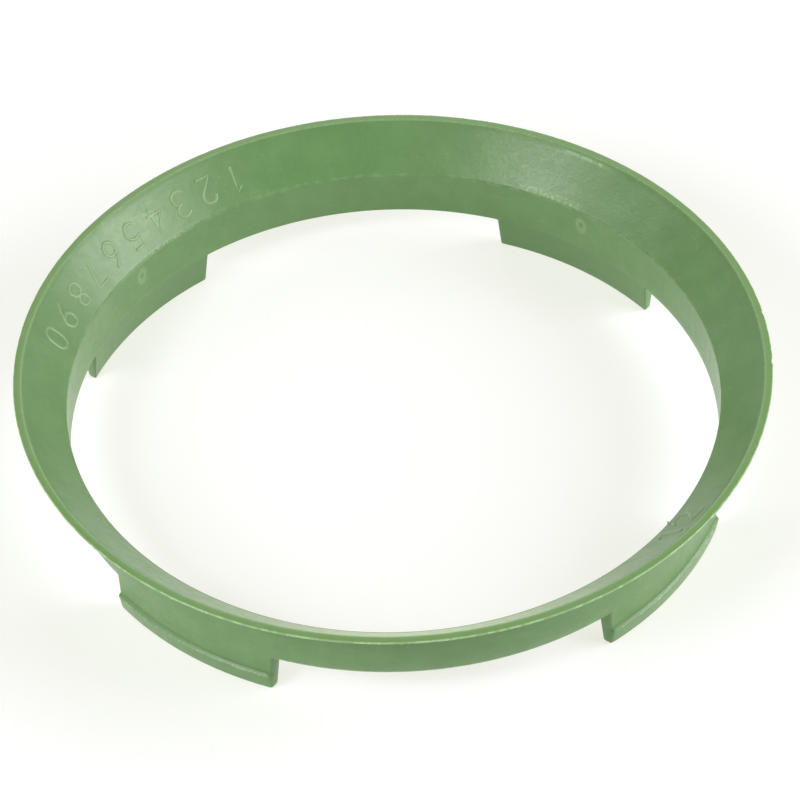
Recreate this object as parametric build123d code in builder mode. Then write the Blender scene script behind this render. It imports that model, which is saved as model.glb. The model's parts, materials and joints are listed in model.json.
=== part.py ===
from build123d import *
import math
import os

# Hub centric ring: one moulded piece that fills the gap between a car's hub and the bore of a wheel.
# It stands on its four feet, with the wide mouth of its flange upwards. All sizes are in millimetres.

# The ring is made for two diameters: the hub's, and the wheel's, which is the hub's plus two walls.
hub_bore_d = 67.1
wall = 1.65

# Flange: a thin funnel with a narrow flat rim.
flange_out = 3.5          # how far the rim stands out past the spigot
ring_h = 9.3              # from the rim down to the ring's lower edge
cone_h = 4.2              # depth of the funnel inside
rim_flat = 0.8            # width of the flat on top of the rim
rim_edge_h = 0.2          # height of the rim's outer edge
seat_angle = 45.0         # slope of the seat that lies in the wheel's chamfer

# Spigot: a true cylinder under the seat, which then draws in to a neck.
land_h = 2.95             # length of the cylinder that centres the wheel
draw_h = 1.85             # length over which it draws in
neck_cut = 0.33           # how far the neck lies inside the cylinder
lead_in = 0.8             # bevel on the ring's lower edge between the feet

# Feet: springy tongues with a snap lip outside.
foot_count = 4
foot_turn = 45.0          # direction of the first foot
foot_w = 19.4             # width where a foot leaves the ring
foot_drop = 3.85          # length under the ring's lower edge
foot_draft = 2.2          # lean of the ends, which makes a foot narrower downwards
foot_flare = 3.0          # lean of the inner face, away from the hub
foot_tip = 1.1            # thickness at the tip
lip_out = 0.33            # how far the lip stands out of the neck
lip_h = 2.2               # height of the lip's crest over the tip
shoulder_h = 0.45         # height of the slope on top of the lip

# Gate marks: a shallow round sink in the bore over each foot, with a pip left standing in it.
gate_d = 1.4
gate_pip_d = 0.6
gate_depth = 0.15
gate_drop = 1.9           # from the funnel's foot down to the middle of the mark

# Rounds.
seat_round = 0.3
neck_round = 0.2
lip_round = 0.15
tip_round = 0.28
corner_round = 0.4
root_round = 0.3

# Sizes that follow from those above.
bore_r = hub_bore_d / 2
spigot_r = bore_r + wall
rim_r = spigot_r + flange_out
neck_r = spigot_r - neck_cut
lip_r = neck_r + lip_out
total_h = foot_drop + ring_h
cone_z = total_h - cone_h
rim_edge_z = total_h - rim_edge_h
seat_z = rim_edge_z - flange_out / math.tan(math.radians(seat_angle))
land_z = seat_z - land_h
draw_z = land_z - draw_h
neck_z = lip_h + shoulder_h
tip_in_r = bore_r + foot_drop * math.tan(math.radians(foot_flare))
tip_out_r = tip_in_r + foot_tip
reach = wall              # how far a cutting shape passes what it cuts
same_h = 0.01             # heights closer than this count as one
foot_planes = [Plane.YZ.rotated((0, 0, foot_turn + i * 360 / foot_count)) for i in range(foot_count)]


def half_foot(z):
    """Half the width of a foot at a height over its tip."""
    return foot_w / 2 - (foot_drop - z) * math.tan(math.radians(foot_draft))


def corner(sketch, r, z):
    """The corner of a section that lies nearest to a radius and a height."""
    return sketch.vertices().sort_by_distance((r, z))[0]


def on_root(edge):
    """True for an edge where the end of a foot meets the ring's lower edge."""
    return edge.vertices().sort_by(Axis.Z)[0].Z > foot_drop - same_h


# What is cut away between the feet: all that lies under the ring's bevelled lower edge,
# less a slice for each foot.
with BuildPart() as gaps:
    with BuildSketch(Plane.XZ):
        with BuildLine():
            Polyline(
                (bore_r - reach, foot_drop),
                (neck_r - lead_in, foot_drop),
                (lip_r + reach, foot_drop + lead_in + lip_out + reach),
                (lip_r + reach, -reach),
                (bore_r - reach, -reach),
                close=True,
            )
        make_face()
    revolve(axis=Axis.Z)
    with BuildSketch(*foot_planes) as outline:
        with BuildLine():
            Polyline(
                (-half_foot(0), 0),
                (half_foot(0), 0),
                (half_foot(total_h), total_h),
                (-half_foot(total_h), total_h),
                close=True,
            )
        make_face()
        fillet(outline.vertices().group_by(Axis.Y)[0], corner_round)
    extrude(amount=lip_r + 2 * reach, mode=Mode.SUBTRACT)

with BuildPart() as ring:
    # The section, turned about the axis: bore, funnel, rim, seat, spigot, neck, snap lip and tip.
    with BuildSketch(Plane.XZ) as section:
        with BuildLine():
            Polyline(
                (bore_r, foot_drop),
                (bore_r, cone_z),
                (rim_r - rim_flat, total_h),
                (rim_r, total_h),
                (rim_r, rim_edge_z),
                (spigot_r, seat_z),
                (spigot_r, land_z),
                (neck_r, draw_z),
                (neck_r, neck_z),
                (lip_r, lip_h),
                (tip_out_r, 0),
                (tip_in_r, 0),
                close=True,
            )
        make_face()
        fillet(corner(section, spigot_r, seat_z), seat_round)
        fillet(corner(section, neck_r, neck_z), neck_round)
        fillet(corner(section, lip_r, lip_h), lip_round)
        fillet([corner(section, tip_out_r, 0), corner(section, tip_in_r, 0)], tip_round)
    revolve(axis=Axis.Z)

    # The skirt under the ring is parted into feet, with a round where each end meets the ring.
    add(gaps.part, mode=Mode.SUBTRACT)
    foot_ends = ring.faces().filter_by(GeomType.PLANE).filter_by(lambda face: abs(face.normal_at().Z) < 0.5)
    fillet(foot_ends.edges().filter_by(on_root), root_round)

    # Gate marks.
    with BuildSketch(*[plane.offset(bore_r + gate_depth) for plane in foot_planes]):
        with Locations((0, cone_z - gate_drop)):
            Circle(gate_d / 2)
            Circle(gate_pip_d / 2, mode=Mode.SUBTRACT)
    extrude(amount=-gate_depth - reach, mode=Mode.SUBTRACT)

ring.part.label = "hub_centric_ring"
os.makedirs("parts", exist_ok=True)
export_step(ring.part, "parts/hub_centric_ring.step")
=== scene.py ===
"""The looks of a hub centric ring: one moulded piece of green plastic on a pale floor."""
import json
import logging
import math
from dataclasses import dataclass, replace
from enum import Enum
from typing import Any, Callable, Sequence

import bmesh
import bpy
from mathutils import Matrix, Vector


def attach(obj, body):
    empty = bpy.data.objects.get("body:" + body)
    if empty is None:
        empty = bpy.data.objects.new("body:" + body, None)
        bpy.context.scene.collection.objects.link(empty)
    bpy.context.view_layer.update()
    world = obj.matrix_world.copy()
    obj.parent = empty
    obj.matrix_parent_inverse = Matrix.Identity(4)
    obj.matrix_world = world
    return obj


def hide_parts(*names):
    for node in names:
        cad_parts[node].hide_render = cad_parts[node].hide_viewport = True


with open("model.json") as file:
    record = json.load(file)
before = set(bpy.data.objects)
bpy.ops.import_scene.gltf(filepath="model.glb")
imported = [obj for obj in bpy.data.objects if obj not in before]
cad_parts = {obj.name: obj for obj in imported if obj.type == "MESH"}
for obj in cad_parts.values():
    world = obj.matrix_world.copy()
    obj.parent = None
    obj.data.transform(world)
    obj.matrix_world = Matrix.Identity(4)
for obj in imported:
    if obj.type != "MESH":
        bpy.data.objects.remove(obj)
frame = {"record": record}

LOG = logging.getLogger("hub_centric_ring")
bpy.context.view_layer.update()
NODE = "hub_centric_ring"
BODY = "root"
MM = 0.001
DIGITS = 3            # digits after the point in a size that is worked out from metres
CENTRE = (0, 0, 0)
NEAR = 0.004          # millimetres within which two places count as one
LOOSE = 5 * NEAR      # the same for a foot's ends and inner face, which are worked out through angles
DOWNWARD = -0.3       # a face looks downwards if the z of its normal is lower
LEVEL = -0.9          # a face is a level underside if the z of its normal is lower
Colour = tuple[float, float, float]
Socket = bpy.types.NodeSocket


class Side(Enum):
    """The two ends of a foot, by the sign of their angle from its middle."""

    BEFORE = -1
    AFTER = 1


class Element(Enum):
    """What can be picked in a mesh, by the name of the mesh's list of them."""

    VERT = "verts"
    EDGE = "edges"
    FACE = "faces"


class Trait(Enum):
    """What the surface's node group puts out: six noises, then where a place is."""

    MOTTLE = "Mottle"
    STREAK = "Streak"
    SCUFF = "Scuff"
    BLOTCH = "Blotch"
    GRAIN = "Grain"
    SPECK = "Speck"
    RADIUS = "Radius"
    HEIGHT = "Height"
    GATE = "Gate"


Surface = dict[Trait, Socket]


@dataclass(frozen=True)
class Spot:
    """A place on the ring in its own round coordinates, in millimetres and degrees."""

    r: float
    z: float
    az: float = 0.0

    @classmethod
    def of(cls, co: Vector) -> "Spot":
        """Read a mesh point as radius, height and azimuth."""
        return cls(math.hypot(co.x, co.y) / MM, co.z / MM, math.degrees(math.atan2(co.y, co.x)))

    def point(self) -> Vector:
        """Give the place as a point in metres."""
        turn = math.radians(self.az)
        return Vector((self.r * math.cos(turn), self.r * math.sin(turn), self.z)) * MM

    def lies_on(self, r: float, z: float, reach: float = NEAR) -> bool:
        """Tell whether the place is on the circle of that radius and height."""
        return abs(self.r - r) < reach and abs(self.z - z) < reach


EdgeTest = Callable[[Spot, Spot], bool]


class Digit(Enum):
    """A plain digit as one line in a box one unit tall, with its middle at zero across."""

    ONE = ((-0.14, 0.80), (0.05, 1.00), (0.05, 0.00))
    TWO = ((-0.27, 0.74), (-0.24, 0.88), (-0.14, 0.97), (0.01, 1.00), (0.16, 0.96), (0.25, 0.85),
           (0.26, 0.70), (0.18, 0.52), (-0.29, 0.00), (0.29, 0.00))
    THREE = ((-0.26, 0.87), (-0.14, 0.98), (0.02, 1.00), (0.17, 0.95), (0.24, 0.82), (0.22, 0.67),
             (0.12, 0.57), (-0.04, 0.54), (0.13, 0.50), (0.25, 0.40), (0.28, 0.25), (0.21, 0.09),
             (0.06, 0.00), (-0.12, 0.01), (-0.28, 0.13))
    FOUR = ((0.12, 0.00), (0.12, 1.00), (-0.31, 0.29), (0.31, 0.29))
    FIVE = ((0.24, 1.00), (-0.20, 1.00), (-0.24, 0.55), (-0.10, 0.62), (0.06, 0.62), (0.20, 0.54),
            (0.28, 0.38), (0.26, 0.20), (0.16, 0.06), (0.00, 0.00), (-0.15, 0.03), (-0.27, 0.13))
    SIX = ((0.18, 1.00), (0.00, 0.84), (-0.15, 0.64), (-0.26, 0.42), (-0.28, 0.26), (-0.21, 0.10),
           (-0.08, 0.01), (0.08, 0.01), (0.21, 0.10), (0.27, 0.26), (0.23, 0.42), (0.12, 0.53),
           (-0.02, 0.56), (-0.16, 0.50), (-0.26, 0.38))
    SEVEN = ((-0.28, 1.00), (0.28, 1.00), (-0.07, 0.00))
    EIGHT = ((0.00, 0.55), (-0.16, 0.62), (-0.22, 0.76), (-0.17, 0.92), (0.00, 1.00), (0.17, 0.92),
             (0.22, 0.76), (0.16, 0.62), (0.00, 0.55), (-0.19, 0.47), (-0.28, 0.28), (-0.20, 0.08),
             (0.00, 0.00), (0.20, 0.08), (0.28, 0.28), (0.19, 0.47), (0.02, 0.54))
    NINE = tuple((-across, 1 - up) for across, up in SIX)
    ZERO = ((0.02, 1.00), (0.17, 0.94), (0.26, 0.77), (0.28, 0.50), (0.26, 0.23), (0.17, 0.06),
            (0.00, 0.00), (-0.17, 0.06), (-0.26, 0.23), (-0.28, 0.50), (-0.26, 0.77), (-0.17, 0.94),
            (-0.02, 1.00))

    def line(self, height: float) -> list[Vector]:
        """Give the line in metres about the origin, for a digit of that height in millimetres."""
        return [Vector((across, up - 0.5, 0)) * height * MM for across, up in self.value]


class Bench:
    """A mesh that is being worked on in edit mode, with its picking done by place."""

    def __init__(self, obj: bpy.types.Object) -> None:
        """Open an object in edit mode, with nothing of it picked.

        Args:
            obj: The object.
        """
        self.obj = obj
        pick_only(obj)
        bpy.ops.object.mode_set(mode="EDIT")
        bpy.ops.mesh.select_all(action="DESELECT")

    @classmethod
    def with_point(cls, name: str) -> "Bench":
        """Open a new mesh that holds one point at the origin, which is picked.

        Args:
            name: Name of the piece.

        Returns:
            The bench.
        """
        bpy.ops.object.select_all(action="DESELECT")
        bpy.ops.mesh.primitive_plane_add(size=MM)
        obj = bpy.context.object
        obj.name = name
        obj.data.name = name
        bench = cls(obj)
        bpy.ops.mesh.select_mode(type="VERT")
        bpy.ops.mesh.select_all(action="SELECT")
        bpy.ops.mesh.merge(type="CENTER")
        return bench

    def draw(self, points: Sequence[Vector], closed: bool) -> None:
        """Move the picked point to the first place and extrude it from place to place.

        Args:
            points: Places along the line, in metres.
            closed: Whether the last place is joined to the first.
        """
        bpy.ops.transform.translate(value=points[0])
        for here, there in zip(points, points[1:]):
            bpy.ops.mesh.extrude_vertices_move(TRANSFORM_OT_translate={"value": there - here})
        if closed:
            ends = (points[0], points[-1])
            self.pick_points(lambda co: any((co - end).length < NEAR * MM for end in ends))
            bpy.ops.mesh.edge_face_add()

    def _pick(self, kind: Element, wanted: Callable[[Any], bool]) -> None:
        """Pick the wanted elements of one kind, and nothing else.

        Args:
            kind: The kind.
            wanted: Says whether an element is wanted.
        """
        bpy.ops.mesh.select_mode(type=kind.name)
        bpy.ops.mesh.select_all(action="DESELECT")
        mesh = bmesh.from_edit_mesh(self.obj.data)
        found = [element for element in getattr(mesh, kind.value) if wanted(element)]
        for element in found:
            element.select_set(True)
        if kind is Element.VERT:
            mesh.select_flush(True)
        bmesh.update_edit_mesh(self.obj.data)

    def pick_points(self, test: Callable[[Vector], bool]) -> None:
        """Pick the points whose place in metres passes a test."""
        self._pick(Element.VERT, lambda vert: test(vert.co))

    def pick_edges(self, test: EdgeTest) -> None:
        """Pick the edges whose two ends pass a test."""
        self._pick(Element.EDGE, lambda edge: test(*(Spot.of(vert.co) for vert in edge.verts)))

    def pick_faces(self, test: Callable[[Spot, Vector], bool]) -> None:
        """Pick the faces whose middle and normal pass a test."""
        self._pick(Element.FACE, lambda face: test(Spot.of(face.calc_center_median()), face.normal))

    def close(self) -> bpy.types.Object:
        """Leave edit mode and give the finished object."""
        bpy.ops.object.mode_set(mode="OBJECT")
        return self.obj


def turn_about_axis(degrees: float) -> None:
    """Turn what is picked about the ring's axis, anticlockwise from above."""
    bpy.ops.transform.rotate(value=-math.radians(degrees), orient_axis="Z", center_override=CENTRE)


def pick_only(obj: bpy.types.Object) -> None:
    """Select one object and make it the active one.

    Args:
        obj: The object.
    """
    bpy.ops.object.select_all(action="DESELECT")
    obj.select_set(True)
    bpy.context.view_layer.objects.active = obj


def apply_modifier(obj: bpy.types.Object, kind: str, **settings: object) -> None:
    """Add a modifier to an object and apply it.

    Args:
        obj: The piece.
        kind: The modifier's type.
        settings: Values for the modifier.
    """
    pick_only(obj)
    modifier = obj.modifiers.new(kind.lower(), kind)
    for key, value in settings.items():
        setattr(modifier, key, value)
    bpy.ops.object.modifier_apply(modifier=modifier.name)


class Moulding:
    """A piece of the moulding, which takes a finish and rides on the ring's body."""

    def dress(self, piece: bpy.types.Object, material: bpy.types.Material) -> None:
        """Give the built piece its material and tie it to the ring's body.

        Args:
            piece: The piece.
            material: Its material.
        """
        piece.data.materials.clear()
        piece.data.materials.append(material)
        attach(piece, BODY)
        LOG.info("%s: %d faces", piece.name, len(piece.data.polygons))


@dataclass(frozen=True)
class Rounds:
    """Widths of the bevels that round the ring's edges, in millimetres."""

    rim_top: float = 0.1
    rim_under: float = 0.06
    mouth: float = 0.08
    cone_foot: float = 0.14
    seat: float = 0.3
    gap_edge: float = 0.1
    gap_bevel: float = 0.3
    neck: float = 0.1
    lip: float = 0.05
    tip: float = 0.25
    end_upright: float = 0.24
    end_tip: float = 0.35
    root: float = 0.25
    widest: float = 0.4
    steps: int = 3


@dataclass
class Ring(Moulding):
    """The moulded ring: funnel, rim, seat, spigot, feet and gate marks.

    Sizes are in millimetres and angles in degrees. The mesh is divided in columns around the axis, and
    end_catch, end_room and burr_reach are counted in columns.
    """

    bore_r: float
    spigot_r: float
    rim_r: float
    total_h: float
    cone_h: float = 4.2
    rim_flat: float = 0.8
    rim_edge_h: float = 0.2
    seat_h: float = 3.5
    land_h: float = 2.95
    neck_cut: float = 0.33
    lead_in: float = 0.8
    foot_count: int = 4
    foot_turn: float = 45.0
    foot_w: float = 19.4
    foot_drop: float = 3.85
    foot_draft: float = 2.2
    foot_flare: float = 6.0
    foot_tip: float = 0.9
    outer_depth: float = 0.8
    lip_out: float = 0.33
    lip_h: float = 2.0
    shoulder_h: float = 0.2
    gate_d: float = 1.4
    gate_pip_d: float = 0.6
    gate_depth: float = 0.02
    gate_drop: float = 1.9
    gate_turn: float = -0.6
    gate_sides: int = 40
    columns: int = 360
    half_sector: float = 16.5
    end_catch: float = 0.85
    end_room: float = 1.1
    cone_rows: int = 8
    bore_rows: int = 8
    rounds: Rounds = Rounds()
    smooth_angle: float = 32.0
    normal_weight: int = 80
    rim_cuts: int = 2
    rim_wear: float = 0.012
    wear_outward: float = 0.7
    rim_marks: tuple[tuple[float, float], ...] = (
        (0.6, -0.10), (-10.2, -0.09), (-11.0, 0.05), (227.7, 0.06), (262.6, 0.06))
    mark_w: float = 0.6
    flash_h: float = 0.06
    flash_reach: float = 0.085
    burr_az: float = 315.5
    burr_h: float = 0.26
    burr_reach: float = 1.2
    burr_cuts: int = 3
    seed: int = 7

    @classmethod
    def from_record(cls, record: dict[str, Any]) -> "Ring":
        """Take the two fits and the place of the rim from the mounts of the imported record.

        Args:
            record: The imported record.

        Returns:
            The ring, not yet modelled.
        """
        mounts = {mount["name"]: mount for mount in record["mounts"]}
        rim_x, _, rim_z = mounts["rim_face"]["pos_m"]
        return cls(
            bore_r=mounts["hub_bore"]["dims"]["r_mm"],
            spigot_r=mounts["wheel_spigot"]["dims"]["r_mm"],
            rim_r=round(rim_x / MM + cls.rim_flat / 2, DIGITS),
            total_h=round(rim_z / MM, DIGITS),
        )

    @property
    def mouth_r(self) -> float:
        """Radius of the funnel's mouth."""
        return self.rim_r - self.rim_flat

    @property
    def cone_z(self) -> float:
        """Height of the funnel's foot."""
        return self.total_h - self.cone_h

    @property
    def cone_angle(self) -> float:
        """Slope of the funnel, in radians."""
        return math.atan2(self.cone_h, self.mouth_r - self.bore_r)

    @property
    def rim_edge_z(self) -> float:
        """Height of the lower edge of the rim's outer face."""
        return self.total_h - self.rim_edge_h

    @property
    def seat_z(self) -> float:
        """Height where the seat meets the spigot."""
        return self.rim_edge_z - self.seat_h

    @property
    def neck_r(self) -> float:
        """Radius of the neck."""
        return self.spigot_r - self.neck_cut

    @property
    def bevel_r(self) -> float:
        """Radius of the lower edge of the bevel between the feet."""
        return self.neck_r - self.lead_in

    @property
    def edge_z(self) -> float:
        """Height of the upper edge of the bevel between the feet."""
        return self.foot_drop + self.lead_in

    @property
    def lower_radii(self) -> tuple[float, float, float]:
        """Radii of the bore and of the bevel's two edges, from which the feet grow."""
        return self.bore_r, self.bevel_r, self.neck_r

    @property
    def lip_r(self) -> float:
        """Radius of the crest of the snap lip."""
        return self.neck_r + self.lip_out

    @property
    def neck_z(self) -> float:
        """Height where the neck ends over the lip."""
        return self.lip_h + self.shoulder_h

    @property
    def tip_r(self) -> float:
        """Outer radius of a foot's tip."""
        return self.flare_r(0) + self.foot_tip

    @property
    def step(self) -> float:
        """Angle between two columns."""
        return 360 / self.columns

    @property
    def foot_pitch(self) -> float:
        """Angle between the middles of two feet."""
        return 360 / self.foot_count

    def rim_spot(self, az: float = 0.0) -> Spot:
        """Give the place half-way up the rim's outer face at an azimuth."""
        return Spot(self.rim_r, self.rim_edge_z + self.rim_edge_h / 2, az)

    def funnel_spot(self, up: float, az: float = 0.0) -> Spot:
        """Give the place on the funnel at a length up its slope and an azimuth."""
        angle = self.cone_angle
        return Spot(self.bore_r + up * math.cos(angle), self.cone_z + up * math.sin(angle), az)

    def flare_r(self, z: float) -> float:
        """Radius of a foot's inner face at a height."""
        return self.bore_r + (self.foot_drop - z) * math.tan(math.radians(self.foot_flare))

    def half_foot(self, z: float) -> float:
        """Half the width of a foot at a height."""
        return self.foot_w / 2 - (self.foot_drop - z) * math.tan(math.radians(self.foot_draft))

    def off_middle(self, az: float) -> float:
        """Angle of an azimuth from the middle of the nearest foot."""
        half = self.foot_pitch / 2
        return (az - self.foot_turn + half) % self.foot_pitch - half

    def on_end(self, *spots: Spot) -> bool:
        """Tell whether all of some places are on the end face of a foot.

        Args:
            spots: The places.

        Returns:
            Whether they are.
        """
        for spot in spots:
            across = abs(spot.r * math.sin(math.radians(self.off_middle(spot.az))))
            if spot.z > self.edge_z + NEAR or abs(across - self.half_foot(spot.z)) > LOOSE:
                return False
        return True

    def section(self) -> list[Vector]:
        """Give the ring's own section, without feet.

        Returns:
            Its corners as points in the radial plane.
        """
        bore_step = (self.cone_z - self.foot_drop) / self.bore_rows
        corners = [(self.bore_r, self.foot_drop + i * bore_step) for i in range(self.bore_rows)]
        corners += [(self.bore_r + i * (self.mouth_r - self.bore_r) / self.cone_rows,
                     self.cone_z + i * self.cone_h / self.cone_rows) for i in range(self.cone_rows + 1)]
        corners += [
            (self.rim_r, self.total_h),
            (self.rim_r, self.rim_edge_z),
            (self.spigot_r, self.seat_z),
            (self.spigot_r, self.seat_z - self.land_h),
            (self.neck_r, self.edge_z),
            (self.bevel_r, self.foot_drop),
        ]
        return [Spot(r, z).point() for r, z in corners]

    def build(self) -> bpy.types.Object:
        """Model the ring.

        Returns:
            The finished object.
        """
        bench = Bench.with_point("moulded_ring")
        self._turn_section(bench)
        self._divide_rim(bench)
        self._seat_foot_ends(bench)
        self._pull_feet(bench)
        self._weigh_rounds(bench)
        obj = bench.close()
        apply_modifier(obj, "BEVEL", limit_method="WEIGHT", width=self.rounds.widest * MM,
                       segments=self.rounds.steps, use_clamp_overlap=False)
        self._sink_gates(obj)
        bench = Bench(obj)
        self._roughen_rim(bench)
        self._raise_flash(bench)
        bench.close()
        pick_only(obj)
        bpy.ops.object.shade_smooth_by_angle(angle=math.radians(self.smooth_angle))
        apply_modifier(obj, "WEIGHTED_NORMAL", keep_sharp=True, weight=self.normal_weight)
        return obj

    def _turn_section(self, bench: Bench) -> None:
        """Draw the section and spin it about the axis into a closed ring.

        Args:
            bench: The ring in work.
        """
        bench.draw(self.section(), closed=True)
        bpy.ops.mesh.select_all(action="SELECT")
        turn_about_axis(self.foot_turn - self.half_sector)
        bpy.ops.mesh.spin(steps=self.columns, angle=math.tau, center=CENTRE, axis=(0, 0, 1))
        bpy.ops.mesh.select_all(action="SELECT")
        bpy.ops.mesh.remove_doubles(threshold=NEAR * MM)
        bpy.ops.mesh.normals_make_consistent(inside=False)

    def _along_rim(self, a: Spot, b: Spot) -> bool:
        """Tell whether the edge between two places runs along the rim."""
        along = abs(a.z - b.z) < NEAR and abs(a.r - b.r) < NEAR
        return along and a.z > self.rim_edge_z - NEAR and a.r > self.mouth_r - NEAR

    def _divide_rim(self, bench: Bench) -> None:
        """Give the rim's edges more points than the rest, for their unevenness."""
        bench.pick_edges(self._along_rim)
        bpy.ops.mesh.subdivide(number_cuts=self.rim_cuts)

    def _slide_column(self, bench: Bench, circle: Spot, span: tuple[float, float], wanted: float) -> None:
        """Slide one column of points of each foot along a circle, the same way at both ends.

        Args:
            bench: The ring in work.
            circle: A place on the circle.
            span: Angles from the foot's middle between which the column is found.
            wanted: Angle to which it goes.
        """
        for side in Side:
            found: list[float] = []

            def in_span(co: Vector) -> bool:
                """Tell whether a point is in the column, and note its angle."""
                spot = Spot.of(co)
                off = self.off_middle(spot.az) * side.value
                inside = spot.lies_on(circle.r, circle.z) and span[0] < off < span[1]
                if inside:
                    found.append(off)
                return inside
            bench.pick_points(in_span)
            turn_about_axis(side.value * (wanted - found[0]))

    def _slide_ends(self, bench: Bench, circle: Spot) -> None:
        """Slide the points at a foot's ends to its width there, and the next ones clear of its rounds.

        Args:
            bench: The ring in work.
            circle: A place on the circle along which they go.
        """
        wanted = math.degrees(math.asin(self.half_foot(circle.z) / circle.r))
        catch = self.end_catch * self.step
        room = self.end_room * self.step
        border = self.half_sector - catch
        self._slide_column(bench, circle, (border, self.half_sector + catch), wanted)
        if circle.z < self.foot_drop:
            self._slide_column(bench, circle, (border - room, border), wanted - room)

    def _seat_foot_ends(self, bench: Bench) -> None:
        """Set the ends of the feet on the ring's lower edge."""
        for r, z in zip(self.lower_radii, (self.foot_drop, self.foot_drop, self.edge_z)):
            self._slide_ends(bench, Spot(r, z))

    def _under_foot(self, middle: Spot, normal: Vector) -> bool:
        """Tell whether a face of the ring's lower edge is one from which a foot grows."""
        in_sector = abs(self.off_middle(middle.az)) < self.half_sector
        return in_sector and middle.z < self.edge_z and normal.z < DOWNWARD

    def _pull_feet(self, bench: Bench) -> None:
        """Extrude the feet downwards level by level, with neck, lip and tip.

        Args:
            bench: The ring in work.
        """
        bench.pick_faces(self._under_foot)
        loops = self.lower_radii
        for z, outer_r in ((self.neck_z, self.neck_r), (self.lip_h, self.lip_r), (0.0, self.tip_r)):
            bpy.ops.mesh.extrude_region_move(TRANSFORM_OT_translate={"value": (0, 0, -MM)})
            bpy.ops.transform.resize(value=(1, 1, 0), center_override=(0, 0, z * MM))
            inner_r = self.flare_r(z)
            wanted = (inner_r, (inner_r + outer_r) / 2, outer_r)
            for was, r in zip(loops, wanted):
                bench.pick_points(lambda co: Spot.of(co).lies_on(was, z))
                bpy.ops.transform.resize(value=(r / was, r / was, 1), center_override=(0, 0, z * MM))
            for r in wanted:
                self._slide_ends(bench, Spot(r, z))
            loops = wanted
            bench.pick_faces(lambda middle, normal: abs(middle.z - z) < NEAR and normal.z < LEVEL)

    @staticmethod
    def _circle(r: float, z: float) -> EdgeTest:
        """Give the test for the edges along a circle."""
        return lambda a, b: a.lies_on(r, z) and b.lies_on(r, z)

    def _gap_circle(self, r: float, z: float) -> EdgeTest:
        """Give the test for the edges along a circle between the feet.

        Args:
            r: Radius of the circle.
            z: Height of the circle.

        Returns:
            The test.
        """
        on_circle = self._circle(r, z)
        border = self.half_sector + self.step / 2
        return lambda a, b: on_circle(a, b) and (
            abs(self.off_middle(a.az)) > border or abs(self.off_middle(b.az)) > border)

    def _end_upright(self, a: Spot, b: Spot) -> bool:
        """Tell whether the edge between two places is an upright corner of a foot's end.

        Args:
            a: One end of the edge.
            b: The other end.

        Returns:
            Whether it is.
        """
        rises = abs(a.z - b.z) > LOOSE
        below = min(a.z, b.z) < self.foot_drop - NEAR
        depths = [spot.r - self.flare_r(spot.z) for spot in (a, b)]
        inner = max(abs(depth) for depth in depths) < LOOSE
        outer = min(depths) > self.outer_depth
        return self.on_end(a, b) and rises and below and (inner or outer)

    def _end_tip(self, a: Spot, b: Spot) -> bool:
        """Tell whether the edge between two places is the lower edge of a foot's end."""
        return self.on_end(a, b) and max(a.z, b.z) < NEAR

    def _root(self, a: Spot, b: Spot) -> bool:
        """Tell whether the edge between two places is where a foot's end meets the ring."""
        return self.on_end(a, b) and min(a.z, b.z) > self.foot_drop - NEAR

    def _weigh_rounds(self, bench: Bench) -> None:
        """Mark the edges that are rounded, each with its own width.

        Args:
            bench: The ring in work.
        """
        rounds = self.rounds
        widths = (
            (self._circle(self.rim_r, self.total_h), rounds.rim_top),
            (self._circle(self.rim_r, self.rim_edge_z), rounds.rim_under),
            (self._circle(self.mouth_r, self.total_h), rounds.mouth),
            (self._circle(self.bore_r, self.cone_z), rounds.cone_foot),
            (self._circle(self.spigot_r, self.seat_z), rounds.seat),
            (self._gap_circle(self.bore_r, self.foot_drop), rounds.gap_edge),
            (self._gap_circle(self.bevel_r, self.foot_drop), rounds.gap_edge),
            (self._gap_circle(self.neck_r, self.edge_z), rounds.gap_bevel),
            (self._circle(self.neck_r, self.neck_z), rounds.neck),
            (self._circle(self.lip_r, self.lip_h), rounds.lip),
            (self._circle(self.tip_r, 0), rounds.tip),
            (self._circle(self.flare_r(0), 0), rounds.tip),
            (self._end_upright, rounds.end_upright),
            (self._end_tip, rounds.end_tip),
            (self._root, rounds.root),
        )
        for test, width in widths:
            bench.pick_edges(test)
            bpy.ops.transform.edge_bevelweight(value=width / rounds.widest)

    def _sink_gates(self, obj: bpy.types.Object) -> None:
        """Sink a gate mark in the bore over each foot, with its pip left standing.

        Args:
            obj: The ring.
        """
        cutter_h = 4 * self.gate_depth
        bpy.ops.object.select_all(action="DESELECT")
        bpy.ops.mesh.primitive_circle_add(vertices=self.gate_sides, radius=self.gate_d / 2 * MM,
                                          fill_type="NGON")
        cutter = bpy.context.object
        bpy.ops.object.mode_set(mode="EDIT")
        bpy.ops.mesh.select_mode(type="FACE")
        bpy.ops.mesh.select_all(action="SELECT")
        bpy.ops.mesh.inset(thickness=(self.gate_d - self.gate_pip_d) / 2 * MM)
        bpy.ops.mesh.delete(type="FACE")
        bpy.ops.mesh.select_all(action="SELECT")
        bpy.ops.mesh.extrude_region_move(TRANSFORM_OT_translate={"value": (0, 0, cutter_h * MM)})
        bpy.ops.mesh.select_all(action="SELECT")
        bpy.ops.transform.rotate(value=-math.pi / 2, orient_axis="Y", center_override=CENTRE)
        place = Spot(self.bore_r + self.gate_depth - cutter_h, self.cone_z - self.gate_drop)
        bpy.ops.transform.translate(value=place.point())
        turn_about_axis(self.foot_turn + self.gate_turn)
        for _ in range(self.foot_count - 1):
            bpy.ops.mesh.duplicate()
            turn_about_axis(self.foot_pitch)
        bpy.ops.mesh.select_all(action="SELECT")
        bpy.ops.mesh.normals_make_consistent(inside=False)
        bpy.ops.object.mode_set(mode="OBJECT")
        apply_modifier(obj, "BOOLEAN", operation="DIFFERENCE", solver="EXACT", object=cutter)
        pick_only(cutter)
        bpy.ops.object.delete()

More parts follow.
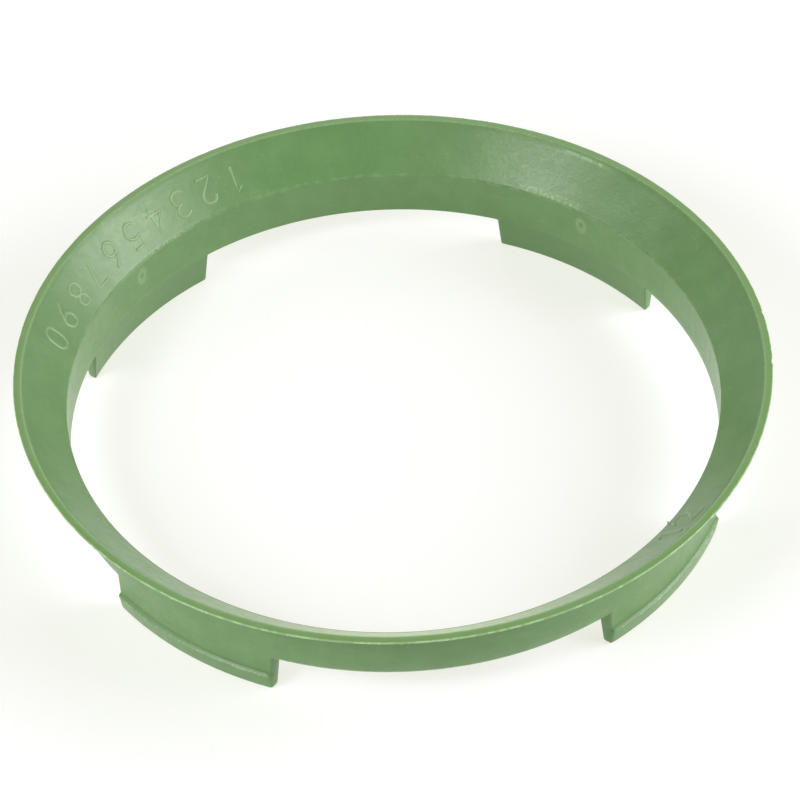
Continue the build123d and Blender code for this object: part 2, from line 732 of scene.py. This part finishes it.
    def _on_rim_edge(self, co: Vector) -> bool:
        """Tell whether a point is on the rim's outer face or its rounds."""
        spot, reach = Spot.of(co), self.rim_edge_h / 2
        return spot.r > self.rim_r - reach and spot.z > self.rim_edge_z - reach

    def _roughen_rim(self, bench: Bench) -> None:
        """Make the rim's outer edge uneven, with its few nicks and bumps.

        Args:
            bench: The ring in work.
        """
        bench.pick_points(self._on_rim_edge)
        bpy.ops.transform.vertex_random(offset=self.rim_wear * MM, uniform=1 - self.wear_outward,
                                        normal=self.wear_outward, seed=self.seed)
        for az, out in self.rim_marks:
            mark = self.rim_spot(az).point()
            bench.pick_points(lambda co: (co - mark).length < self.mark_w / 2 * MM)
            bpy.ops.transform.translate(value=Spot(out, 0, az).point())

    def _raise_flash(self, bench: Bench) -> None:
        """Raise a trace of flash along the funnel's foot, and one burr on it.

        Args:
            bench: The ring in work.
        """
        bench.pick_points(lambda co: Spot.of(co).lies_on(self.bore_r, self.cone_z, self.flash_reach))
        bpy.ops.transform.translate(value=(0, 0, self.flash_h * MM))
        burr = Spot(self.bore_r, self.cone_z + self.flash_h, self.burr_az).point()
        reach = self.burr_reach * math.radians(self.step) * self.bore_r * MM
        bench.pick_faces(lambda middle, normal: (middle.point() - burr).length < reach)
        bpy.ops.mesh.subdivide(number_cuts=self.burr_cuts)
        bench.pick_points(lambda co: (co - burr).length < self.burr_h / 2 * MM)
        lean = Spot(-self.burr_h / 3, self.burr_h, self.burr_az)
        bpy.ops.transform.translate(value=lean.point())


@dataclass
class RaisedMark(Moulding):
    """A row of plain digits in thin raised strokes on the funnel. Sizes in millimetres and degrees."""

    name: str
    digits: Sequence[Digit]
    first_az: float
    pitch: float
    height: float
    ring: Ring
    stroke: float = 0.38
    relief: float = 0.075
    rod_h: float = 0.12
    rod_steps: int = 6
    middle: float = 2.75
    weld: float = 0.0005
    overlap: float = 0.0001

    @property
    def sunk(self) -> float:
        """Depth of a stroke's middle line under the funnel."""
        return self.rod_h - self.relief

    @property
    def rod_r(self) -> float:
        """Half the width of the flattened rod that is as wide as a stroke where it leaves the funnel."""
        return self.stroke / 2 / math.sqrt(1 - (self.sunk / self.rod_h) ** 2)

    def build(self) -> bpy.types.Object:
        """Model the digits.

        Returns:
            The digits as one closed mesh each, in one object.
        """
        parts = [self._lay(digit, self.first_az + i * self.pitch) for i, digit in enumerate(self.digits)]
        pick_only(parts[0])
        for part in parts:
            part.select_set(True)
        bpy.ops.object.join()
        obj = bpy.context.object
        bpy.ops.object.shade_smooth_by_angle(angle=math.radians(self.ring.smooth_angle))
        return obj

    def _make_rod(self, digit: Digit) -> None:
        """Model one digit flat at the origin, as a flattened rod, and leave it picked in edit mode.

        Args:
            digit: The digit.
        """
        bench = Bench.with_point(self.name)
        bench.draw(digit.line(self.height), closed=False)
        pick_only(bench.close())
        bpy.ops.object.convert(target="CURVE")
        curve = bpy.context.object.data
        curve.bevel_depth = self.rod_r * MM
        curve.bevel_resolution = self.rod_steps
        curve.use_fill_caps = True
        bpy.ops.object.convert(target="MESH")
        bpy.ops.object.mode_set(mode="EDIT")
        bpy.ops.mesh.select_all(action="SELECT")
        bpy.ops.mesh.remove_doubles(threshold=NEAR * MM)
        bpy.ops.mesh.normals_make_consistent(inside=False)
        bpy.ops.transform.resize(value=(1, 1, self.rod_h / self.rod_r), center_override=CENTRE)

    def _lay(self, digit: Digit, az: float) -> bpy.types.Object:
        """Model one digit and lay it on the funnel, half sunk and with its crossings joined.

        Args:
            digit: The digit.
            az: Azimuth of its middle.

        Returns:
            The digit, with its top nearest the axis.
        """
        self._make_rod(digit)
        bpy.ops.transform.translate(value=(0, 0, -self.sunk * MM))
        turn_about_axis(90)
        bpy.ops.transform.rotate(value=self.ring.cone_angle, orient_axis="Y", center_override=CENTRE)
        bpy.ops.transform.translate(value=self.ring.funnel_spot(self.middle).point())
        turn_about_axis(az)
        bpy.ops.mesh.select_mode(type="FACE")
        bpy.ops.mesh.intersect_boolean(operation="UNION", use_self=True, threshold=self.overlap * MM,
                                       solver="EXACT")
        bpy.ops.mesh.select_all(action="SELECT")
        bpy.ops.mesh.remove_doubles(threshold=self.weld * MM)
        bpy.ops.object.mode_set(mode="OBJECT")
        return bpy.context.object


@dataclass(frozen=True)
class Step:
    """A smooth step: the values between which it goes, and its results before and after."""

    start: float
    end: float
    before: float = 0.0
    after: float = 1.0

    def at(self, place: float) -> "Step":
        """Give the same step with its values counted from a place."""
        return replace(self, start=place + self.start, end=place + self.end)


class Graph:
    """A node tree with a short way to add nodes and join them."""

    def __init__(self, tree: bpy.types.NodeTree) -> None:
        """Take a tree and empty it."""
        self.tree = tree
        tree.nodes.clear()

    def add(self, kind: str, inputs: dict[Any, object] | None = None, **settings: object) -> bpy.types.Node:
        """Add a node.

        Args:
            kind: The node's type.
            inputs: For each socket, a value, or another node's output that is joined to it.
            settings: Values for the node itself.

        Returns:
            The new node.
        """
        node = self.tree.nodes.new(kind)
        for key, value in settings.items():
            setattr(node, key, value)
        for key, value in (inputs or {}).items():
            if isinstance(value, Socket):
                self.tree.links.new(value, node.inputs[key])
            else:
                node.inputs[key].default_value = value
        return node

    def math(self, operation: str, *values: object) -> Socket:
        """Work out a number from one, two or three numbers."""
        return self.add("ShaderNodeMath", dict(enumerate(values)), operation=operation).outputs[0]

    def both(self, first: object, second: object) -> Socket:
        """Multiply two shares, so that the result is high where both are."""
        return self.math("MULTIPLY", first, second)

    def ramp(self, value: object, step: Step) -> Socket:
        """Pass a number through a smooth step.

        Args:
            value: The number.
            step: The step.

        Returns:
            The result.
        """
        inputs = {"Value": value, "From Min": step.start, "From Max": step.end,
                  "To Min": step.before, "To Max": step.after}
        return self.add("ShaderNodeMapRange", inputs, interpolation_type="SMOOTHSTEP").outputs["Result"]

    def combine(self, **parts: object) -> Socket:
        """Make a vector of its X, Y and Z, where a part that is not given is zero."""
        return self.add("ShaderNodeCombineXYZ", parts).outputs[0]

    def vector(self, operation: str, *values: object) -> Socket:
        """Work out a vector from one or two vectors."""
        node = self.add("ShaderNodeVectorMath", dict(enumerate(values)), operation=operation)
        return node.outputs["Vector"]

    def scaled(self, vector: object, factor: float) -> Socket:
        """Make a vector longer by a factor."""
        node = self.add("ShaderNodeVectorMath", {0: vector, "Scale": factor}, operation="SCALE")
        return node.outputs["Vector"]

    def measure(self, operation: str, *values: object) -> Socket:
        """Work out a number from one or two vectors."""
        node = self.add("ShaderNodeVectorMath", dict(enumerate(values)), operation=operation)
        return node.outputs["Value"]

    def tint(self, base: object, share: object, colour: Colour) -> Socket:
        """Lay a colour over another by a share."""
        return self.add("ShaderNodeMix", {0: share, 6: base, 7: (*colour, 1)}, data_type="RGBA").outputs[2]


@dataclass(frozen=True)
class WearAndHighlightPlace:
    """Where the plastic is painted pale, as wear and as painted highlights: a circle on the ring, or the
    stretch of one about a spot.

    Sizes are in millimetres. The least and the most are shares of the pale colour, where the wear and the
    painted highlight are weakest and strongest. A half length of zero means the whole circle.
    """

    spot: Spot
    reach: float
    least: float
    most: float
    half_length: float = 0.0
    texture: Trait = Trait.GRAIN


@dataclass(frozen=True)
class MouldedPlastic:
    """Semi-matte green plastic with flow mottling, streaks, specks, scuffs, blushed gates, edges worn pale,
    painted highlights and glints, and painted shade.

    The steps from on_gate on are in millimetres, counted from the part of the ring that they name.
    """

    shape: Ring
    name: str = "moulded_green"
    body: Colour = (0.141, 0.273, 0.099)
    deep: Colour = (0.127, 0.250, 0.088)
    pale: Colour = (0.235, 0.365, 0.180)
    # Pale colour of edge wear and of the painted highlights and glints.
    wear_and_highlight_colour: Colour = (0.390, 0.560, 0.295)
    # Painted shade on the rim's top flat: darker, more saturated green.
    rim: Colour = (0.167, 0.308, 0.100)
    # Painted shade on the feet's inner faces below the ring.
    inner_feet_shade: Colour = (0.126, 0.241, 0.092)
    # Painted shade in the crease over the lip.
    crease_shade: Colour = (0.105, 0.210, 0.073)
    roughness: float = 0.33
    gloss_swing: float = 0.045
    ior: float = 1.46
    sheen: float = 0.3
    sheen_roughness: float = 0.3
    sheen_tint: Colour = (0.85, 1.0, 0.6)
    bump_strength: float = 0.12
    bump_depth: float = 0.0001
    blotch_height: float = 2.2
    gate_stretch: float = 1.4
    streak_rise: float = 0.012
    scuff_along: float = 7.0
    scuff_across: float = 5.0
    mottled: Step = Step(0.32, 0.68)
    streaked: Step = Step(0.45, 0.75, after=0.09)
    specked: Step = Step(0.68, 0.76, after=0.35)
    scuffed: Step = Step(0.58, 0.74, after=0.3)
    patched: Step = Step(0.48, 0.62)
    # Texture step of the pale wear and painted highlights.
    pale_wear_and_highlight: Step = Step(0.45, 0.6)
    glossed: Step = Step(0.3, 0.7)
    on_gate: Step = Step(0.25, -0.15, after=0.7)
    off_pip: Step = Step(0.15, 0.35)
    in_bore: Step = Step(0.65, 0.4)
    under_ring: Step = Step(0.12, -0.08)
    past_mouth: Step = Step(0.0, 0.1)
    on_top: Step = Step(-0.1, -0.04)
    in_crease: Step = Step(0.22, 0.05, after=0.8)
    in_cone: Step = Step(0.5, 0.3)

    def wear_and_highlight_places(self) -> tuple[WearAndHighlightPlace, ...]:
        """Give the pale places: painted highlights along the edges, partly wear, painted glints and haze in
        the funnel's glows, and scuffs.

        Returns:
            The pale places.
        """
        shape = self.shape
        spot = shape.funnel_spot
        blotch = Trait.BLOTCH
        return (
            # Painted highlights along the rim's outer edge (broken with wear), the mouth, the lip's crest
            # and the funnel's foot.
            WearAndHighlightPlace(shape.rim_spot(), reach=0.17, least=0.45, most=1.0, texture=blotch),
            WearAndHighlightPlace(Spot(shape.mouth_r, shape.total_h), reach=0.16, least=0.25, most=0.42),
            WearAndHighlightPlace(Spot(shape.lip_r, shape.lip_h), reach=0.14, least=0.0, most=0.4),
            WearAndHighlightPlace(spot(0.0), reach=0.3, least=0.0, most=0.14, texture=blotch),
            # Painted glints along the funnel's foot at the back-left and back-right, and a painted haze in
            # the back-right glow.
            WearAndHighlightPlace(spot(0.0, 130.0), reach=0.28, least=0.1, most=0.5, half_length=7.0),
            WearAndHighlightPlace(spot(0.41, 51.3), reach=0.5, least=0.0, most=0.42, half_length=4.8),
            WearAndHighlightPlace(spot(1.66, 52.0), reach=1.6, least=0.0, most=0.14, half_length=4.6, texture=blotch),
            # A scuff near the rim at the back-right.
            WearAndHighlightPlace(spot(5.52, 47.5), reach=0.24, least=0.25, most=0.64, half_length=3.4, texture=blotch),
            # Scuffs with a painted sheen in the back-left glow.
            WearAndHighlightPlace(spot(3.4, 131.0), reach=2.4, least=0.0, most=0.24, half_length=5.0, texture=blotch),
        )

    def texture(self) -> bpy.types.NodeTree:
        """Make the node group with the surface's noises and places, or give it if it is there already.

        Returns:
            The group.
        """
        name = "moulded_surface"
        if name in bpy.data.node_groups:
            return bpy.data.node_groups[name]
        tree = bpy.data.node_groups.new(name, "ShaderNodeTree")
        graph = Graph(tree)
        for trait in Trait:
            tree.interface.new_socket(trait.value, in_out="OUTPUT", socket_type="NodeSocketFloat")
        mm = graph.scaled(graph.add("ShaderNodeTexCoord").outputs["Object"], 1 / MM)
        parts = graph.add("ShaderNodeSeparateXYZ", {0: mm}).outputs
        flat = graph.combine(X=parts["X"], Y=parts["Y"])
        radius = graph.measure("LENGTH", flat)
        heading = graph.vector("NORMALIZE", flat)
        lift = graph.combine(Z=graph.math("MULTIPLY", parts["Z"], self.streak_rise))
        drawn = graph.vector("ADD", heading, lift)
        across = graph.math("MULTIPLY", graph.math("ADD", radius, parts["Z"]), self.scuff_across)
        rubbed = graph.vector("ADD", graph.scaled(heading, self.scuff_along), graph.combine(Z=across))
        noises = {
            Trait.MOTTLE: {"Vector": mm, "Scale": 0.35, "Detail": 4.0, "Roughness": 0.55},
            Trait.STREAK: {"Vector": drawn, "Scale": 90.0, "Detail": 3.0, "Roughness": 0.6},
            Trait.SCUFF: {"Vector": rubbed, "Scale": 1.0, "Detail": 2.0, "Roughness": 0.5},
            Trait.BLOTCH: {"Vector": mm, "Scale": 1.1, "Detail": 3.0, "Roughness": 0.6},
            Trait.GRAIN: {"Vector": mm, "Scale": 3.2, "Detail": 2.0, "Roughness": 0.6},
            Trait.SPECK: {"Vector": mm, "Scale": 1.9, "Detail": 2.0, "Roughness": 0.5},
        }
        results = {Trait.RADIUS: radius, Trait.HEIGHT: parts["Z"], Trait.GATE: self._from_gate(graph, mm)}
        for trait, inputs in noises.items():
            results[trait] = graph.add("ShaderNodeTexNoise", inputs).outputs[0]
        graph.add("NodeGroupOutput", {trait.value: result for trait, result in results.items()})
        return tree

    def _from_gate(self, graph: Graph, place: Socket) -> Socket:
        """Measure how far a place is from the nearest gate mark, with heights counted for less.

        Args:
            graph: The tree that is being made.
            place: The place in millimetres.

        Returns:
            The distance in millimetres.
        """
        shape = self.shape
        square = graph.add("ShaderNodeVectorRotate",
                           {"Vector": place, "Angle": -math.radians(shape.gate_turn)},
                           rotation_type="Z_AXIS").outputs[0]
        corner = graph.vector("ABSOLUTE", square)
        squat = graph.vector("MULTIPLY", corner, (1, 1, 1 / self.gate_stretch))
        gate_z = (shape.cone_z - shape.gate_drop) / self.gate_stretch
        gate = Spot(shape.bore_r, gate_z, shape.foot_turn).point() / MM
        return graph.measure("DISTANCE", squat, gate)

    def _flow(self, graph: Graph, surface: Surface) -> Socket:
        """Colour the plastic as it flowed into the mould and was handled.

        Args:
            graph: The material's tree.
            surface: The traits of the surface.

        Returns:
            The colour.
        """
        base = graph.tint((*self.deep, 1), graph.ramp(surface[Trait.MOTTLE], self.mottled), self.body)
        streak = graph.ramp(surface[Trait.STREAK], self.streaked)
        speck = graph.ramp(surface[Trait.SPECK], self.specked)
        patch = graph.ramp(surface[Trait.MOTTLE], self.patched)
        scuff = graph.both(graph.ramp(surface[Trait.SCUFF], self.scuffed), patch)
        for share in (streak, speck, scuff):
            base = graph.tint(base, share, self.pale)
        return base

    def _tint_places(self, graph: Graph, surface: Surface, section: Socket, base: Socket) -> Socket:
        """Tint the gate marks, and paint shade on the feet's inner faces, the rim's flat and the crease over
        the lip.

        Args:
            graph: The material's tree.
            surface: The traits of the surface.
            section: The place in the ring's section.
            base: The colour so far.

        Returns:
            The colour.
        """
        shape = self.shape
        radius = surface[Trait.RADIUS]
        height = surface[Trait.HEIGHT]
        gate = surface[Trait.GATE]
        under = (shape.neck_r + shape.lip_out / 4, shape.lip_h + shape.shoulder_h * 3 / 4, 0)
        blush = graph.both(graph.ramp(gate, self.on_gate.at(shape.gate_d / 2)),
                           graph.ramp(gate, self.off_pip))
        # Painted shade on the feet's inner faces below the ring.
        inside = graph.both(graph.ramp(radius, self.in_bore.at(shape.bore_r)),
                            graph.ramp(height, self.under_ring.at(shape.foot_drop)))
        # Painted shade on the rim's top flat.
        on_rim = graph.both(graph.ramp(radius, self.past_mouth.at(shape.mouth_r)),
                            graph.ramp(height, self.on_top.at(shape.total_h)))
        # Painted shade in the crease over the lip.
        crease_shade = graph.ramp(graph.measure("DISTANCE", section, under), self.in_crease)
        base = graph.tint(base, blush, self.pale)
        base = graph.tint(base, inside, self.inner_feet_shade)
        base = graph.tint(base, on_rim, self.rim)
        return graph.tint(base, crease_shade, self.crease_shade)

    def _paint_wear_and_highlights(self, graph: Graph, surface: Surface, section: Socket, base: Socket) -> Socket:
        """Paint the pale places: wear, painted highlights and painted glints.

        Args:
            graph: The material's tree.
            surface: The traits of the surface.
            section: The place in the ring's section.
            base: The colour so far.

        Returns:
            The colour.
        """
        shape = self.shape
        outward = Vector((shape.cone_h, shape.bore_r - shape.mouth_r, 0)).normalized()
        cone = outward.dot(Vector((shape.bore_r, shape.cone_z, 0)))
        in_funnel = graph.ramp(graph.measure("DOT_PRODUCT", section, outward), self.in_cone.at(cone))
        place = graph.add("ShaderNodeTexCoord").outputs["Object"]
        for pale_wear_and_highlight in self.wear_and_highlight_places():
            apart = graph.measure("DISTANCE", section, (pale_wear_and_highlight.spot.r, pale_wear_and_highlight.spot.z, 0))
            strength = replace(self.pale_wear_and_highlight, before=pale_wear_and_highlight.least, after=pale_wear_and_highlight.most)
            share = graph.both(graph.ramp(apart, Step(pale_wear_and_highlight.reach, pale_wear_and_highlight.reach / 2)),
                               graph.ramp(surface[pale_wear_and_highlight.texture], strength))
            if pale_wear_and_highlight.half_length:
                apart = graph.measure("DISTANCE", place, pale_wear_and_highlight.spot.point())
                along = graph.ramp(apart, Step(pale_wear_and_highlight.half_length * MM, pale_wear_and_highlight.half_length / 2 * MM))
                share = graph.both(share, graph.both(along, in_funnel))
            # Pale colour laid on as wear and as painted highlights and glints.
            base = graph.tint(base, share, self.wear_and_highlight_colour)
        return base

    def material(self) -> bpy.types.Material:
        """Make the material.

        Returns:
            The finished material.
        """
        material = bpy.data.materials.new(self.name)
        material.use_nodes = True
        graph = Graph(material.node_tree)
        group = graph.add("ShaderNodeGroup", node_tree=self.texture())
        surface = {trait: group.outputs[trait.value] for trait in Trait}
        section = graph.combine(X=surface[Trait.RADIUS], Y=surface[Trait.HEIGHT])
        base = self._flow(graph, surface)
        base = self._tint_places(graph, surface, section, base)
        base = self._paint_wear_and_highlights(graph, surface, section, base)
        gloss = replace(self.glossed, before=self.roughness - self.gloss_swing,
                        after=self.roughness + self.gloss_swing)
        blotch = surface[Trait.BLOTCH]
        height = graph.math("MULTIPLY_ADD", blotch, self.blotch_height, surface[Trait.GRAIN])
        bump = graph.add("ShaderNodeBump", {
            "Strength": self.bump_strength, "Distance": self.bump_depth, "Height": height})
        shader = graph.add("ShaderNodeBsdfPrincipled", {
            "Base Color": base,
            "Roughness": graph.ramp(blotch, gloss),
            "Normal": bump.outputs[0],
            "IOR": self.ior,
            "Sheen Weight": self.sheen,
            "Sheen Roughness": self.sheen_roughness,
            "Sheen Tint": (*self.sheen_tint, 1),
        })
        graph.add("ShaderNodeOutputMaterial", {"Surface": shader.outputs[0]})
        return material


def seen_directly(graph: Graph) -> Socket:
    """Tell what the camera sees from light on a surface.

    Args:
        graph: The tree that asks.

    Returns:
        1 for what the camera sees, also in a mirror or through glass, and 0 for light on a surface.
    """
    path = graph.add("ShaderNodeLightPath").outputs
    mirrored = graph.math("MAXIMUM", path["Is Glossy Ray"], path["Is Transmission Ray"])
    return graph.math("MAXIMUM", path["Is Camera Ray"], mirrored)


@dataclass(frozen=True)
class Lamp:
    """A soft rectangular lamp: where it stands, its size in metres and the brightness of its face.

    A face with a brightness of 1 is white.
    """

    name: str
    direction: tuple[float, float, float]
    size: tuple[float, float]
    brightness: float


@dataclass
class Studio:
    """Floor, lamps and camera. Directions are given as the camera sees the ring: x right, y away."""

    turn: float = 7.5
    tilt: float = 44.435
    roll: float = -1.872
    reach: tuple[float, float, float] = (-0.561, 2.615, 414.578)
    feet_z: float = -3.896
    lens: float = 180.0
    sensor: float = 36.0
    nearest: float = 0.01
    floor_size: float = 3.0
    floor_colour: Colour = (0.84, 0.85, 0.82)
    shade_colour: Colour = (0.40, 0.39, 0.50)
    glow_colour: Colour = (0.645, 0.655, 0.535)
    sky: float = 0.12
    backdrop: Step = Step(0.5, 0.3)
    lamp_distance: float = 0.5
    lamps: tuple[Lamp, ...] = (
        Lamp("right_lamp", (0.886, -0.05, 0.462), (0.36, 0.25), 8.7),
        Lamp("left_lamp", (-0.6, -0.465, 0.65), (0.18, 0.18), 11.0),
        Lamp("front_lamp", (0.0, -0.96, 0.28), (0.25, 0.25), 1.6),
        Lamp("low_left_lamp", (-0.88, -0.2, 0.38), (0.25, 0.25), 4.0),
        Lamp("back_lamp", (0.0, 0.8, 0.6), (0.25, 0.25), 1.5),
    )

    def aligned(self, direction: Sequence[float]) -> Vector:
        """Turn a direction from the camera's heading into the ring's own frame."""
        return Matrix.Rotation(-math.radians(self.turn), 3, "Z") @ Vector(direction)

    def place_camera(self) -> None:
        """Put the camera where the photograph was taken from."""
        tilt = math.radians(self.tilt)
        roll = math.radians(self.roll)
        right = Vector((1, 0, 0))
        ahead = Vector((0, math.cos(tilt), -math.sin(tilt)))
        down = ahead.cross(right)
        across = math.cos(roll) * right - math.sin(roll) * down
        below = math.sin(roll) * right + math.cos(roll) * down
        eye = -(across * self.reach[0] + below * self.reach[1] + ahead * self.reach[2])
        eye.z -= self.feet_z
        axes = Matrix((self.aligned(across), self.aligned(-below), self.aligned(-ahead))).transposed()
        data = bpy.data.cameras.new("camera")
        data.lens = self.lens
        data.sensor_width = self.sensor
        data.clip_start = self.nearest
        camera = bpy.data.objects.new("camera", data)
        camera.matrix_world = Matrix.Translation(self.aligned(eye) * MM) @ axes.to_4x4()
        bpy.context.scene.collection.objects.link(camera)
        bpy.context.scene.camera = camera

    def hang_lamp(self, lamp: Lamp) -> None:
        """Hang a lamp so that it faces the ring.

        Args:
            lamp: The lamp.
        """
        data = bpy.data.lights.new(lamp.name, "AREA")
        data.shape = "RECTANGLE"
        data.size, data.size_y = lamp.size
        data.energy = lamp.brightness * math.pi * lamp.size[0] * lamp.size[1]
        obj = bpy.data.objects.new(lamp.name, data)
        toward = self.aligned(lamp.direction).normalized()
        facing = toward.to_track_quat("Z", "Y").to_matrix().to_4x4()
        obj.matrix_world = Matrix.Translation(toward * self.lamp_distance) @ facing
        bpy.context.scene.collection.objects.link(obj)

    def lay_floor(self) -> bpy.types.Object:
        """Lay the pale floor under the feet.

        Returns:
            The floor.
        """
        bpy.ops.object.select_all(action="DESELECT")
        bpy.ops.mesh.primitive_plane_add(size=self.floor_size, location=(0, 0, -NEAR * MM))
        bpy.ops.object.transform_apply()
        floor = bpy.context.object
        floor.name = "floor"
        material = bpy.data.materials.new("pale_floor")
        material.use_nodes = True
        graph = Graph(material.node_tree)
        seen = seen_directly(graph)
        plain = graph.add("ShaderNodeBsdfDiffuse", {"Color": (*self.floor_colour, 1)})
        shade = graph.add("ShaderNodeBsdfDiffuse", {"Color": (*self.shade_colour, 1)})
        glow = graph.add("ShaderNodeEmission", {"Color": (*self.glow_colour, 1)})
        white = graph.add("ShaderNodeAddShader", {0: shade.outputs[0], 1: glow.outputs[0]})
        both = graph.add("ShaderNodeMixShader", {0: seen, 1: plain.outputs[0], 2: white.outputs[0]})
        graph.add("ShaderNodeOutputMaterial", {"Surface": both.outputs[0]})
        floor.data.materials.append(material)
        return floor

    def light_sky(self) -> None:
        """Light the scene evenly from all round, with a white backdrop under a dim ceiling."""
        world = bpy.data.worlds.new("soft_sky")
        bpy.context.scene.world = world
        world.use_nodes = True
        graph = Graph(world.node_tree)
        heading = graph.add("ShaderNodeTexCoord").outputs["Generated"]
        rise = graph.add("ShaderNodeSeparateXYZ", {0: heading}).outputs["Z"]
        backdrop = graph.both(seen_directly(graph), graph.ramp(rise, self.backdrop))
        strength = graph.ramp(backdrop, Step(0.0, 1.0, before=self.sky))
        sky = graph.add("ShaderNodeBackground", {"Color": (1, 1, 1, 1), "Strength": strength})
        graph.add("ShaderNodeOutputWorld", {"Surface": sky.outputs[0]})

    def build(self) -> None:
        """Set up the floor, the sky, the lamps and the camera."""
        self.lay_floor()
        self.light_sky()
        for lamp in self.lamps:
            self.hang_lamp(lamp)
        self.place_camera()
        bpy.context.scene.view_settings.view_transform = "Standard"


def main() -> None:
    """Build the ring and its studio."""
    logging.basicConfig(level=logging.INFO, format="%(name)s: %(message)s")
    shape = Ring.from_record(frame["record"])
    marks = (
        RaisedMark("count_mark", tuple(Digit), first_az=110.0, pitch=5.6, height=2.9, ring=shape),
        RaisedMark("cavity_mark", (Digit.ONE, Digit.TWO), first_az=311.2, pitch=4.6, height=3.6, ring=shape),
    )
    plastic = MouldedPlastic(shape).material()
    # A paler copy of the plastic for the digits: painted highlight on the raised strokes.
    rubbed = MouldedPlastic(shape, "rubbed_green", body=(0.235, 0.365, 0.175), deep=(0.205, 0.330, 0.150))
    raised = rubbed.material()
    ring = shape.build()
    shape.dress(ring, plastic)
    for mark in marks:
        mark.dress(mark.build(), raised)
    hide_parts(NODE)
    Studio().build()


if __name__ == "__main__":
    main()
